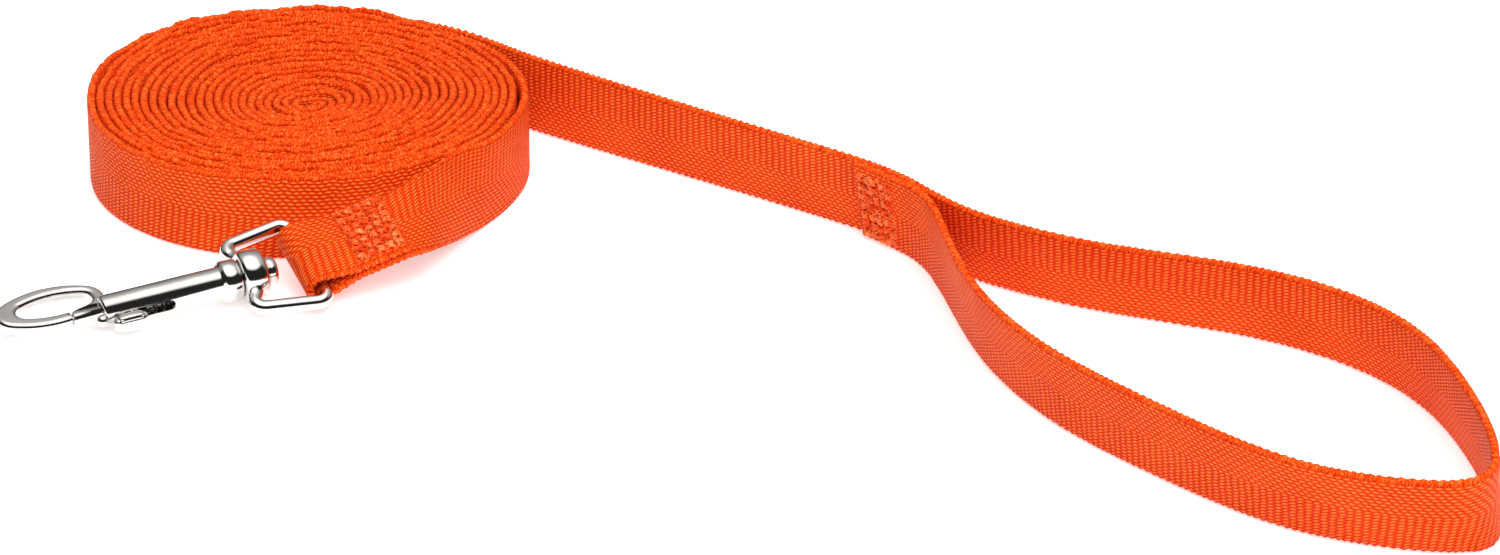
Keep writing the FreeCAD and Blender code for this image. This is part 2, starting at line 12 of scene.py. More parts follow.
import bmesh
import bpy
import numpy as np
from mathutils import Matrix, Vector


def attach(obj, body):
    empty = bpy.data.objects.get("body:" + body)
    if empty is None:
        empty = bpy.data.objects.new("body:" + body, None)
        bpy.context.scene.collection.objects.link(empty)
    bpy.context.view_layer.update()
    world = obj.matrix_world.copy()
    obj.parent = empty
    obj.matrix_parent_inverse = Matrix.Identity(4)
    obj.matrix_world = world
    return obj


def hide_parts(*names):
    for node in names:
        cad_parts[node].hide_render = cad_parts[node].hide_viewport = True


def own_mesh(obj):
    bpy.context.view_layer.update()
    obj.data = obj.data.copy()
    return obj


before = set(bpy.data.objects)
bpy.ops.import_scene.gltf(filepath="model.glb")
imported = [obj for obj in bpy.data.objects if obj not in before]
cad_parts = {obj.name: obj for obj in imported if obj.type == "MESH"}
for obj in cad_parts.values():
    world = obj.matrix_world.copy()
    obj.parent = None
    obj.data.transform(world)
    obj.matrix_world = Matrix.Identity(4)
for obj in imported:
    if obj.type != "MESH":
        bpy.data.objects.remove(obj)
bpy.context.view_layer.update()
random.seed(7)

MM = 0.001

# ------------------------------------------------------------- dimensions
WEB_WIDTH = 19.5
WEB_THICK = 1.9
LAYER_GAP = 0.1
ROLL_RADIUS = 51.3
ROLL_GROWTH = 4.0
EXIT_ANGLE = 57.0
FOLD_BORE = 2.05
HOOK_SEAM_START = 9.0
HOOK_SEAM_END = 21.0
PICK = 1.75            # spacing of the weft along the webbing
YARN = 0.86            # spacing of the warp yarns across it
EDGE_ROUND = 0.75      # how far the rounded edges reach into the width
EDGE_BAND = 0.85       # width of the band of edge strands in the pattern
BEAD_SIZE = 0.66       # height of the edge's beads on free webbing
WOUND_BEAD_CUT = 0.46  # how much lower they are where the webbing is wound
ROLL_INNER = 3.1       # radius at which the two strands join in the middle
TURN_SAMPLES = 150
WARP_CALM_RADIUS = 44.0        # the wound layers are even again from here out
ROLL_LEAN = (-0.2, 2.4, 1.5)   # shift of the top edge at the roll's back left
LEAN_ANGLE, LEAN_REACH = 138.0, 85.0
KNOT_LONG, KNOT_WIDE = 2.2, 2.3   # spacing of the seams' knots
KNOT_STRANDS = 6
PEBBLE_POWER = 2.8     # roundness of the thumb stud's knob: 2 is an ellipsoid

BAR_CENTRE = Vector((4.4, -66.3, 7.4))
SNAP_YAW, SNAP_PITCH = 24.0, 4.0
EYE_ROLL, HOOK_ROLL = 17.0, 10.0
SEAM_YAW, SEAM_PITCH = 20.4, 16.0


def heading(yaw, pitch):
    """Unit vector at an angle from +X in plan and an angle above the floor."""
    yaw, pitch = math.radians(yaw), math.radians(pitch)
    return Vector((math.cos(yaw) * math.cos(pitch),
                   math.sin(yaw) * math.cos(pitch), math.sin(pitch)))


def rolled(axis, roll):
    """Unit vector square to the axis, on its right, tipped down by roll."""
    right = Vector((axis.y, -axis.x, 0)).normalized()
    down = axis.cross(right)
    roll = math.radians(roll)
    return right * math.cos(roll) + down * math.sin(roll)


SNAP_AXIS = heading(SNAP_YAW, SNAP_PITCH)
BAR_AXIS = rolled(SNAP_AXIS, EYE_ROLL)
SEAM_AXIS = heading(SEAM_YAW, SEAM_PITCH)
SEAM_AXIS = (SEAM_AXIS - BAR_AXIS * SEAM_AXIS.dot(BAR_AXIS)).normalized()
SEAM_UP = BAR_AXIS.cross(SEAM_AXIS)


# ------------------------------------------------------------------ camera
def add_camera():
    """A long lens, 24.5 degrees above the floor, looking along +Y."""
    camera = bpy.data.cameras.new("camera")
    camera.lens = 144.0
    camera.sensor_width = 36.0
    camera.sensor_fit = "HORIZONTAL"
    camera.clip_start = 0.05
    camera.clip_end = 50.0
    placed = bpy.data.objects.new("camera", camera)
    placed.location = (0.1011, -1.2623, 0.5486)
    placed.rotation_euler = (math.radians(65.5), 0.0, 0.0)
    bpy.context.scene.collection.objects.link(placed)
    bpy.context.scene.camera = placed


add_camera()


# ------------------------------------------------------------ node helpers
class Tree:
    """Short way to write a material's node tree."""

    def __init__(self, name):
        self.material = bpy.data.materials.new(name)
        self.material.use_nodes = True
        self.nodes = self.material.node_tree.nodes
        self.links = self.material.node_tree.links
        self.shader = self.nodes["Principled BSDF"]

    def add(self, kind, **settings):
        node = self.nodes.new("ShaderNode" + kind)
        for key, value in settings.items():
            setattr(node, key, value)
        return node

    def join(self, source, socket):
        if isinstance(source, (int, float)):
            socket.default_value = source
        else:
            self.links.new(source, socket)

    def math(self, operation, a, b=None, c=None):
        node = self.add("Math", operation=operation)
        for value, socket in zip((a, b, c), node.inputs):
            if value is not None:
                self.join(value, socket)
        return node.outputs[0]

    def mix(self, factor, a, b):
        """Plain number mix."""
        node = self.add("Mix", data_type="FLOAT")
        self.join(factor, node.inputs[0])
        self.join(a, node.inputs[2])
        self.join(b, node.inputs[3])
        return node.outputs[0]

    def noise(self, vector, scale, detail=2.0, roughness=0.5):
        node = self.add("TexNoise")
        node.inputs["Scale"].default_value = scale
        node.inputs["Detail"].default_value = detail
        node.inputs["Roughness"].default_value = roughness
        if vector is not None:
            self.links.new(vector, node.inputs["Vector"])
        return node.outputs["Fac"]

    def ramp(self, factor, stops):
        node = self.add("ValToRGB")
        elements = node.color_ramp.elements
        while len(elements) < len(stops):
            elements.new(0.5)
        for element, (position, colour) in zip(elements, stops):
            element.position = position
            element.color = (*colour, 1.0)
        self.links.new(factor, node.inputs[0])
        return node.outputs[0]

    def bump(self, height, distance, strength=1.0):
        node = self.add("Bump")
        node.inputs["Strength"].default_value = strength
        node.inputs["Distance"].default_value = distance
        self.links.new(height, node.inputs["Height"])
        self.links.new(node.outputs["Normal"], self.shader.inputs["Normal"])

    def set(self, **values):
        for key, value in values.items():
            self.shader.inputs[key.replace("_", " ")].default_value = value


FULL_TURN = 2 * math.pi
# darkest and lightest webbing colours: painted shade in the weave's hollows and on the edges'
# flanks, painted highlight on raised floats and edge crowns, and also darker and lighter fibres
ORANGE_SHADE_AND_DARK_FIBRE = (0.52, 0.016, 0.0003)
ORANGE = (0.94, 0.062, 0.0006)
ORANGE_HIGHLIGHT_AND_PALE_FIBRE = (1.0, 0.225, 0.034)
THREAD_DEEP = (0.50, 0.014, 0.0006)
THREAD_COLOUR = (0.94, 0.075, 0.002)
THREAD_LIGHT = (1.0, 0.34, 0.11)
WEAVE_RELIEF = 0.00036         # metres


def webbing_material():
    """Nylon webbing: stacked dashes on one half, long ribs on the other, with painted shade in the
    weave's hollows and painted highlight on its raised parts.
    """
    t = Tree("webbing")
    uv = t.add("UVMap", uv_map="weave")
    split = t.add("SeparateXYZ")
    t.links.new(uv.outputs[0], split.inputs[0])
    along, across = split.outputs[0], split.outputs[1]
    # unevenness of the weave: the pattern wanders a little
    wander = t.noise(uv.outputs[0], 0.35, 1.0)
    wander = t.math("MULTIPLY", t.math("SUBTRACT", wander, 0.5), 0.9)
    along_w = t.math("ADD", along, wander)
    dashes = t.math("GREATER_THAN", across, 0.0)
    # how far each yarn's float is shifted from its neighbour's
    yarns = t.math("DIVIDE", across, YARN)
    shift = t.math("MULTIPLY", yarns, t.mix(dashes, -0.42, 0.06))
    phase = t.math("ADD", t.math("DIVIDE", along_w, PICK), shift)
    floats = t.math("COSINE", t.math("MULTIPLY", phase, FULL_TURN))
    floats = t.math("MULTIPLY_ADD", floats, 0.5, 0.5)
    floats = t.math("POWER", floats, 0.75)
    # each float lies at a slant: one end up, the other end down
    slope = t.math("SUBTRACT", t.math("FRACT", t.math("ADD", phase, 0.5)), 0.5)
    slanted = t.math("MULTIPLY_ADD", slope, t.mix(dashes, 0.25, 0.55), yarns)
    rows = t.math("COSINE", t.math("MULTIPLY", slanted, FULL_TURN))
    rows = t.math("MULTIPLY_ADD", rows, 0.5, 0.5)
    rows = t.math("POWER", rows, 0.6)
    floor_level = t.mix(dashes, 0.22, 0.20)
    lift = t.math("MULTIPLY_ADD", floats, t.mix(dashes, 0.78, 0.80), floor_level)
    weave = t.math("MULTIPLY", rows, lift)
    # edges: short slanted strands, unevenly worn
    edge = t.math("GREATER_THAN", t.math("ABSOLUTE", across), WEB_WIDTH / 2 - EDGE_BAND)
    slant = t.math("MULTIPLY_ADD", across, 0.35, t.math("DIVIDE", along_w, PICK / 2))
    slant = t.math("MULTIPLY_ADD", t.noise(uv.outputs[0], 0.9, 2.0), 3.0, slant)
    strands = t.math("COSINE", t.math("MULTIPLY", slant, FULL_TURN))
    strands = t.math("MULTIPLY_ADD", strands, 0.26, 0.42)
    worn = t.math("SUBTRACT", t.noise(uv.outputs[0], 0.75, 3.0, 0.7), 0.5)
    strands = t.math("MULTIPLY_ADD", worn, 0.9, strands)
    # the crown of the edge is raised and painted lighter as a highlight, and its flanks are lowered
    # and painted darker as shade
    crown_lift_and_highlight = t.math("SUBTRACT", t.math("ABSOLUTE", across), WEB_WIDTH / 2 - EDGE_ROUND)
    crown_lift_and_highlight = t.math("MAXIMUM", t.math("DIVIDE", crown_lift_and_highlight, EDGE_ROUND), 0.0)
    strands = t.math("MULTIPLY_ADD", t.math("POWER", crown_lift_and_highlight, 0.6), 0.36,
                     t.math("MULTIPLY_ADD", strands, 0.95, -0.30))
    height = t.mix(edge, weave, strands)
    fibres = t.noise(uv.outputs[0], 2.2, 3.0, 0.6)
    cloudy = t.noise(uv.outputs[0], 0.06, 2.0)
    # colour from the weave's height: painted shade where it is low and painted highlight where it is
    # raised; fibres and cloudy add random tone
    tone = t.math("MULTIPLY_ADD", fibres, 0.60, t.math("MULTIPLY_ADD", height, 0.90, -0.38))
    tone = t.math("MULTIPLY_ADD", cloudy, 0.22, tone)
    colour = t.ramp(tone, [(0.05, ORANGE_SHADE_AND_DARK_FIBRE), (0.36, ORANGE), (0.92, ORANGE_HIGHLIGHT_AND_PALE_FIBRE)])
    t.links.new(colour, t.shader.inputs["Base Color"])
    fine = t.math("MULTIPLY_ADD", fibres, 0.35, height)
    t.bump(fine, WEAVE_RELIEF, 1.0)
    t.set(Roughness=0.55, Sheen_Weight=0.03, Sheen_Roughness=0.4)
    t.shader.inputs["Sheen Tint"].default_value = (1.0, 0.45, 0.25, 1.0)
    t.shader.inputs["Specular IOR Level"].default_value = 0.08
    return t.material


def thread_material():
    """Bonded nylon thread, a little lighter than the webbing."""
    t = Tree("thread")
    where = t.add("TexCoord")
    grain = t.noise(where.outputs["Object"], 2600.0, 2.0)
    patches = t.noise(where.outputs["Object"], 420.0, 2.0)
    tone = t.math("MULTIPLY_ADD", grain, 0.5, t.math("MULTIPLY", patches, 0.6))
    colour = t.ramp(tone, [(0.36, THREAD_DEEP), (0.52, THREAD_COLOUR), (0.74, THREAD_LIGHT)])
    t.links.new(colour, t.shader.inputs["Base Color"])
    t.bump(grain, 0.00008, 0.8)
    t.set(Roughness=0.5, Sheen_Weight=0.05)
    t.shader.inputs["Specular IOR Level"].default_value = 0.2
    return t.material


def nickel_material():
    """Bright nickel plate with faint casting waves."""
    t = Tree("nickel")
    where = t.add("TexCoord")
    waves = t.noise(where.outputs["Object"], 190.0, 2.0)
    grain = t.noise(where.outputs["Object"], 1500.0, 2.0)
    rough = t.math("MULTIPLY_ADD", grain, 0.08, 0.05)
    t.links.new(rough, t.shader.inputs["Roughness"])
    colour = t.ramp(waves, [(0.3, (0.70, 0.675, 0.65)), (0.7, (0.80, 0.785, 0.765))])
    t.links.new(colour, t.shader.inputs["Base Color"])
    t.bump(waves, 0.00006, 0.35)
    t.set(Metallic=1.0)
    return t.material


def spring_material():
    """Drawn steel wire."""
    t = Tree("spring_steel")
    where = t.add("TexCoord")
    grain = t.noise(where.outputs["Object"], 3000.0, 2.0)
    t.links.new(t.math("MULTIPLY_ADD", grain, 0.2, 0.25), t.shader.inputs["Roughness"])
    colour = t.ramp(grain, [(0.3, (0.10, 0.10, 0.10)), (0.7, (0.20, 0.20, 0.20))])
    t.links.new(colour, t.shader.inputs["Base Color"])
    t.bump(grain, 0.00002, 0.5)
    t.set(Metallic=1.0)
    return t.material


WEBBING = webbing_material()
THREAD = thread_material()
NICKEL = nickel_material()
SPRING = spring_material()


# ----------------------------------------------------------- webbing route
def on_roll(radius, angle, height=WEB_WIDTH / 2):
    """Point at a radius and an angle round the roll."""
    angle = math.radians(angle)
    return (radius * math.cos(angle), radius * math.sin(angle), height)


def floor_point(x, y, dx, dy):
    """Route point of webbing that stands on its lower edge and leans."""
    rise = math.sqrt(WEB_WIDTH ** 2 - dx ** 2 - dy ** 2)
    return ((x + dx / 2, y + dy / 2, rise / 2), (dx, dy, rise))


UPRIGHT = (0.0, 0.0, 20.0)
HANDLE_START = on_roll(ROLL_RADIUS - WEB_THICK / 2, EXIT_ANGLE - 0.1)
HOOK_START = on_roll(ROLL_RADIUS - 1.5 * WEB_THICK - 0.05, EXIT_ANGLE - 0.1)
HANDLE_ROUTE = [
    (HANDLE_START, UPRIGHT),
    floor_point(35.0, 37.9, 0.0, 0.0),
    floor_point(49.3, 25.7, -1.0, -1.4),
    floor_point(66.8, 12.4, -1.6, -2.0),
    floor_point(89.8, -4.6, -2.1, -2.8),
    floor_point(108.2, -18.4, -2.4, -3.1),
    floor_point(128.2, -33.8, -2.0, -3.4),
]
SEAM_FROM = HANDLE_ROUTE[-1]
SEAM_TO = floor_point(136.6, -42.8, -1.4, -3.8)
LOOP_ROUTE = [
    SEAM_TO,
    floor_point(142.8, -50.8, -2.0, -4.0),
    floor_point(150.0, -58.8, -2.6, -4.4),
    floor_point(158.8, -65.6, -2.6, -5.0),
    floor_point(174.8, -75.2, -2.6, -5.4),
    floor_point(192.5, -82.2, -2.8, -5.0),
    floor_point(210.2, -89.4, -3.0, -4.4),
    floor_point(225.5, -99.8, -3.2, -3.4),
    floor_point(237.6, -113.0, -3.2, -2.8),
    floor_point(244.8, -127.4, -2.8, -2.8),
    floor_point(248.8, -142.0, -2.6, -3.4),
    floor_point(251.4, -157.0, -2.4, -4.2),
    floor_point(252.6, -170.0, -2.2, -4.8),
    floor_point(252.2, -180.5, -2.0, -5.2),
    floor_point(250.6, -187.0, -2.0, -5.6),
    floor_point(245.8, -191.2, -2.0, -6.2),
    floor_point(236.5, -191.0, -2.0, -6.2),
    floor_point(223.6, -187.6, -2.2, -6.2),
    floor_point(212.0, -182.2, -2.6, -5.6),
    floor_point(201.2, -174.0, -2.8, -4.6),
    floor_point(185.4, -157.6, -2.8, -3.6),
    floor_point(169.0, -138.0, -2.8, -3.2),
    floor_point(159.2, -121.4, -2.8, -3.2),
    floor_point(152.6, -105.4, -2.6, -3.8),
    floor_point(148.8, -91.5, -2.4, -3.9),
    floor_point(146.0, -78.0, -2.0, -3.6),
    floor_point(143.4, -65.0, -1.2, -3.6),
    floor_point(140.4, -53.5, -0.4, -3.8),
]
HOOK_ROUTE = [
    (HOOK_START, UPRIGHT),
    (on_roll(49.0, 44.0), UPRIGHT),
    (on_roll(49.8, 27.0), UPRIGHT),
    (on_roll(50.2, 9.0), UPRIGHT),
    (on_roll(50.4, -9.0), UPRIGHT),
    (on_roll(50.5, -26.0), UPRIGHT),
    (on_roll(51.0, -36.0, 9.9), (0.0, 1.0, 20.0)),
    ((37.3, -36.9, 11.2), (-0.2, 7.3, 17.6)),
    ((32.4, -46.4, 12.1), (-2.0, 13.7, 12.6)),
    ((28.0, -55.0, 13.3), (-5.1, 15.6, 9.6)),
]
SEAM_RUN = (Vector(SEAM_TO[0]) - Vector(SEAM_FROM[0])).normalized()
LAP_SHIFT = Vector((SEAM_RUN.y, -SEAM_RUN.x, 0)).normalized() * (WEB_THICK + LAYER_GAP)


def smooth_run(route, samples=14):
    """Quadratic B-spline with the route's points as its control points."""
    points = [np.array([*p, *(np.array(u) / np.linalg.norm(u))]) for p, u in route]
    middles = [(a + b) / 2 for a, b in zip(points, points[1:])]
    middles[0], middles[-1] = points[0], points[-1]
    curve = []
    for i in range(1, len(points) - 1):
        a, b, c = middles[i - 1], points[i], middles[i]
        for k in range(samples):
            f = k / samples
            curve.append(a * (1 - f) ** 2 + b * 2 * f * (1 - f) + c * f ** 2)
    curve.append(middles[-1])
    return curve


def grounded(curve):
    """The same webbing with its lower edge set down on the floor."""
    result = []
    for i, value in enumerate(curve):
        ahead = curve[min(i + 1, len(curve) - 1)][:2] - curve[max(i - 1, 0)][:2]
        along = Vector((*ahead, 0)).normalized()
        up = Vector(value[3:])
        up = (up - along * up.dot(along)).normalized()
        across = up.cross(along)
        height = (WEB_WIDTH * up.z + WEB_THICK * abs(across.z)) / 2 + 0.01
        result.append(np.array([value[0], value[1], height, *up]))
    return result


def roll_warp(x, y):
    """Small smooth unevenness of the wound layers, the same for neighbours."""
    reach = min(1.0, math.hypot(x, y) / WARP_CALM_RADIUS)
    calm = 1.0 - reach ** 6
    dx = 0.55 * math.sin(y / 8.3 + 0.8) + 0.35 * math.sin(x / 5.1 + y / 9.7)
    dy = 0.55 * math.sin(x / 7.7 - 0.4) + 0.35 * math.sin(y / 5.9 - x / 11.0)
    return x + dx * calm, y + dy * calm


def roll_samples():
    """Both strands of the roll: inwards, round the middle and outwards."""
    pitch = ROLL_GROWTH / 2
    turns = (ROLL_RADIUS - WEB_THICK / 2 - ROLL_INNER) / ROLL_GROWTH
    count = int(turns * TURN_SAMPLES)
    inward, outward = [], []
    for i in range(count + 1):
        angle = EXIT_ANGLE + 360.0 * turns * i / count
        radius = ROLL_RADIUS - WEB_THICK / 2 - ROLL_GROWTH * turns * i / count
        for strand, offset in ((inward, 0.0), (outward, pitch)):
            x, y, z = on_roll(radius - offset, angle)
            x, y = roll_warp(x, y)
            strand.append(np.array([x, y, z, 0, 0, 1.0]))
    # half circle that joins the two strands in the middle
    start, end = inward[-1][:3], outward[-1][:3]
    centre = (start + end) / 2
    arm = start - centre
    side = np.array([-arm[1], arm[0], 0.0])
    middle = []
    for k in range(1, 12):
        a = math.pi * k / 12
        middle.append(np.array([*(centre + arm * math.cos(a) + side * math.sin(a)), 0, 0, 1.0]))
    return inward + middle + outward[::-1]


def fold_samples():
    """Lower layer, bend round the eye's bar, and the lap laid back on top."""
    middle = (WEB_THICK + LAYER_GAP) / 2
    bend = FOLD_BORE + WEB_THICK / 2
    line = [(HOOK_SEAM_END, -middle), (17.0, -middle), (13.0, -middle), (HOOK_SEAM_START, -middle)]
    line += [(6.5, -middle - 0.45), (4.0, -middle - 1.05), (2.0, -bend + 0.40)]
    for k in range(13):
        a = -math.pi / 2 - math.pi * k / 12
        line.append((bend * math.cos(a), bend * math.sin(a)))
    line += [(x, -y) for x, y in reversed(line[:7])]
    up = -BAR_AXIS
    samples = []
    for x, y in line:
        place = BAR_CENTRE + SEAM_AXIS * x + SEAM_UP * y
        samples.append(np.array([*place, *up]))
    return samples


def whole_route():
    """Every sample of the leash from the hand loop's end to the hook's end."""
    lap = []
    for point, up in (SEAM_FROM, SEAM_TO):
        lap.append((tuple(Vector(point) + LAP_SHIFT), up))
    free = lap + LOOP_ROUTE[:0:-1] + [SEAM_TO, SEAM_FROM] + HANDLE_ROUTE[-2::-1]
    samples = grounded(smooth_run(free))
    roll_from = len(samples)
    samples += roll_samples()
    roll_to = len(samples)
    lower = -(LAYER_GAP + WEB_THICK) / 2
    seam_end = BAR_CENTRE + SEAM_AXIS * (HOOK_SEAM_END + 0.05) + SEAM_UP * lower
    hook = HOOK_ROUTE + [(tuple(seam_end), tuple(-BAR_AXIS))]
    samples += smooth_run(hook)[1:-1]
    samples += fold_samples()
    # per sample: wound on the roll or not, and width kept as given or not
    flags = np.zeros((len(samples), 2))
    flags[roll_from:roll_to, 0] = 1.0
    flags[roll_to:, 1] = 1.0
    return np.array(samples), flags


def resample(samples, flags, step):
    """Samples at an even spacing along the webbing."""
    runs = np.linalg.norm(np.diff(samples[:, :3], axis=0), axis=1)
    keep = np.concatenate([[True], runs > 1e-4])
    samples, flags = samples[keep], flags[keep]
    runs = np.linalg.norm(np.diff(samples[:, :3], axis=0), axis=1)
    travelled = np.concatenate([[0], np.cumsum(runs)])
    count = int(travelled[-1] / step)
    wanted = np.linspace(0, travelled[-1], count + 1)
    even = np.column_stack([np.interp(wanted, travelled, samples[:, k]) for k in range(6)])
    kept = np.column_stack([np.interp(wanted, travelled, flags[:, k]) for k in range(2)])
    return even, kept, wanted


def soft_noise(values, wavelength, seed):
    """Smooth deterministic noise along a line, between -1 and 1."""
    rng = np.random.default_rng(seed)
    total = np.zeros_like(values)
    for _ in range(5):
        total += np.sin(values * 2 * math.pi / (wavelength * rng.uniform(0.6, 1.8))
                        + rng.uniform(0, 6.28))
    return total / 3.0


def web_profile():
    """Points round the webbing's section: (across, up, edge amount, side)."""
    edge = EDGE_ROUND
    flat = WEB_WIDTH / 2 - edge
    points = []
    for k in range(6):
        a = math.pi * k / 5
        points.append((math.cos(a), flat + edge * math.sin(a), math.sin(a)))
    for k in range(1, 6):
        points.append((-1.0, flat - 2 * flat * k / 6, 0.0))
    for k in range(6):
        a = math.pi + math.pi * k / 5
        points.append((math.cos(a), -flat + edge * math.sin(a), math.sin(a)))
    for k in range(1, 6):
        points.append((1.0, -flat + 2 * flat * k / 6, 0.0))
    return points


def build_webbing():
    """The whole leash as one closed strip with beaded edges."""
    samples, flags = whole_route()
    even, flags, travelled = resample(samples, flags, PICK / 4)
    rolled_amount, skewed = flags[:, 0], flags[:, 1]
    centre, up = even[:, :3], even[:, 3:]
    along = np.gradient(centre, axis=0)
    along /= np.linalg.norm(along, axis=1)[:, None]
    up = up - along * (np.sum(up * along, axis=1) * (1 - skewed))[:, None]
    up /= np.linalg.norm(up, axis=1)[:, None]
    across = np.cross(up, along)
    across /= np.linalg.norm(across, axis=1)[:, None]
    radius = np.hypot(centre[:, 0], centre[:, 1])
    angle = np.degrees(np.arctan2(centre[:, 1], centre[:, 0])) % 360.0
    # the back left of the roll leans outwards and rides up
    lean = np.clip(1 - np.abs(angle - LEAN_ANGLE) / LEAN_REACH, 0, 1)
    lean = lean * lean * (3 - 2 * lean) * rolled_amount * np.clip(radius / 50.0, 0, 1) ** 2
    # wound layers stand at slightly different heights, lower in the middle
    uneven = 0.40 * soft_noise(travelled, 55.0, 3) + 0.26 * soft_noise(travelled, 9.0, 4)
    uneven = uneven + 0.20 * soft_noise(travelled, 3.6, 6)
    dish = 1.7 * np.clip(1 - (radius / 30.0) ** 2, 0, 1) + 0.9 * np.exp(-(radius / 6.0) ** 2)
    drop = rolled_amount * (uneven - dish)
    thick = WEB_THICK / 2 * (0.965 + 0.035 * soft_noise(travelled, 9.0, 5))
    # beads along the edges, one to a pick, out of step from layer to layer
    pick_phase = travelled * 2 * math.pi / PICK + 3.0 * soft_noise(travelled, 30.0, 8)
    bead_size = BEAD_SIZE - WOUND_BEAD_CUT * rolled_amount
    rings = []
    profile = web_profile()
    for c, v, e in profile:
        bead = 0.5 + 0.5 * np.cos(pick_phase + 1.1 * c)
        outward = bead_size * (bead - 0.5) * e
        height = v + outward
        if v > 0:
            height = height + drop * (v / (WEB_WIDTH / 2))
        swell = 1.0 + (0.06 * (bead - 0.5) if abs(v) > 7 else 0.0)
        ring = centre + across * (c * thick * swell)[:, None] + up * height[:, None]
        share = (v / WEB_WIDTH + 0.5)
        ring[:, 0] += lean * share * ROLL_LEAN[0]
        ring[:, 1] += lean * share * ROLL_LEAN[1]
        ring[:, 2] += lean * share * ROLL_LEAN[2]
        rings.append(ring)
    ring_count = len(profile)
    n = len(centre)
    vertices = np.stack(rings, axis=1).reshape(-1, 3) * MM
    i = np.arange(n - 1)[:, None] * ring_count
    k = np.arange(ring_count)[None, :]
    k2 = (k + 1) % ring_count
    quads = np.stack([i + k, i + k2, i + ring_count + k2, i + ring_count + k], axis=2).reshape(-1, 4)
    mesh = bpy.data.meshes.new("leash_webbing")
    face_total = len(quads) + 2
    mesh.vertices.add(len(vertices))
    mesh.vertices.foreach_set("co", vertices.ravel())
    loops = np.concatenate([quads.ravel(), np.arange(ring_count)[::-1],
                            (n - 1) * ring_count + np.arange(ring_count)])
    starts = np.concatenate([np.arange(len(quads)) * 4,
                             [len(quads) * 4, len(quads) * 4 + ring_count]])
    mesh.loops.add(len(loops))
    mesh.loops.foreach_set("vertex_index", loops)
    mesh.polygons.add(face_total)
    mesh.polygons.foreach_set("loop_start", starts)
    mesh.polygons.foreach_set("use_smooth", np.concatenate(
        [np.ones(len(quads), bool), [False, False]]))
    # pattern coordinates: distance along, and distance across with the two
    # faces mirrored, because the pattern's halves swap on the other face
    layer = mesh.uv_layers.new(name="weave")
    c_all = np.array([p[0] for p in profile])
    v_all = np.array([p[1] for p in profile])
    side = np.where(c_all + np.roll(c_all, -1) > 0, 1.0, -1.0)
    quad_v = np.stack([v_all * side, np.roll(v_all, -1) * side,
                       np.roll(v_all, -1) * side, v_all * side], axis=1)
    uv = np.zeros((n - 1, ring_count, 4, 2))
    uv[:, :, 0, 0] = travelled[:-1, None]
    uv[:, :, 1, 0] = travelled[:-1, None]
    uv[:, :, 2, 0] = travelled[1:, None]
    uv[:, :, 3, 0] = travelled[1:, None]
    uv[:, :, :, 1] = quad_v[None, :, :]
    flat_uv = np.concatenate([uv.reshape(-1, 2), np.zeros((2 * ring_count, 2))])
    layer.data.foreach_set("uv", flat_uv.ravel())
    mesh.update()
    mesh.validate()
    mesh.materials.append(WEBBING)
    piece = bpy.data.objects.new("leash_webbing", mesh)
    bpy.context.scene.collection.objects.link(piece)
    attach(piece, "leash")
    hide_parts("strap_roll", "handle_strand", "hand_loop", "handle_lap",
                "hook_strand", "hook_fold")
    print("webbing length %.0f mm, %d vertices" % (travelled[-1], len(vertices)))
    return piece


build_webbing()


# ----------------------------------------------------------------- stitches
def tube(build, path, radius, sides=6):
    """Closed tube along a short path."""
    rings = []
    for i, point in enumerate(path):
        ahead = path[min(i + 1, len(path) - 1)] - path[max(i - 1, 0)]
        ahead.normalize()
        first = ahead.orthogonal().normalized()
        second = ahead.cross(first)
        taper = 0.65 if i in (0, len(path) - 1) else 1.0
        ring = []
        for k in range(sides):
            a = 2 * math.pi * k / sides
            offset = first * math.cos(a) + second * math.sin(a)
            ring.append(build.verts.new((point + offset * radius * taper) * MM))
        rings.append(ring)
    for low, high in zip(rings, rings[1:]):
        for k in range(sides):
            build.faces.new((low[k], low[(k + 1) % sides], high[(k + 1) % sides], high[k]))
    build.faces.new(rings[0][::-1])
    build.faces.new(rings[-1])


def stitch_patch(name, node, origin, long_way, wide_way, long, wide):
    """Rows of thread knots on both faces of two layers of webbing."""
    outward = long_way.cross(wide_way).normalized()
    surface = WEB_THICK + LAYER_GAP / 2
    build = bmesh.new()
    columns, rows = round(long / KNOT_LONG), round(wide / KNOT_WIDE)
    for face in (1, -1):
        for i in range(columns):
            for k in range(rows):
                # one knot: a clump of short strands crossing each other
                x = (i + 0.5) * long / columns + random.uniform(-0.15, 0.15)
                y = (k + 0.5) * wide / rows - wide / 2 + random.uniform(-0.15, 0.15)
                for turn in range(KNOT_STRANDS):
                    lean = 1 if turn % 2 else -1
                    reach = random.uniform(0.65, 1.0)
                    rise = random.uniform(0.30, 0.80) * lean
                    dx, dy = random.uniform(-0.25, 0.25), random.uniform(-0.6, 0.6)
                    path = []
                    for f in (-1.0, -0.55, 0.0, 0.55, 1.0):
                        lift = 0.46 * (1 - f * f) + 0.02 + random.uniform(0, 0.06)
                        lift -= 0.25 if abs(f) == 1.0 else 0.0
                        path.append(origin + long_way * (x + dx + reach * f)
                                    + wide_way * (y + dy + rise * f)
                                    + outward * face * (surface + lift))
                    tube(build, path, random.uniform(0.28, 0.40))
    mesh = bpy.data.meshes.new(name)
    build.to_mesh(mesh)
    build.free()
    for polygon in mesh.polygons:
        polygon.use_smooth = True
    mesh.materials.append(THREAD)
    piece = bpy.data.objects.new(name, mesh)
    bpy.context.scene.collection.objects.link(piece)
    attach(piece, "leash")
    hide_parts(node)
    return piece


seam_up = Vector(SEAM_FROM[1]).normalized()
seam_up = (seam_up - SEAM_RUN * seam_up.dot(SEAM_RUN)).normalized()
stitch_patch("handle_tacks", "handle_stitching",
             Vector(SEAM_FROM[0]) + LAP_SHIFT * 0.5 + SEAM_RUN * 1.2,
             SEAM_RUN, seam_up, 11.0, 17.0)
stitch_patch("hook_tacks", "hook_stitching",
             BAR_CENTRE + SEAM_AXIS * (HOOK_SEAM_START + 0.4),
             SEAM_AXIS, BAR_AXIS, 11.2, 17.0)


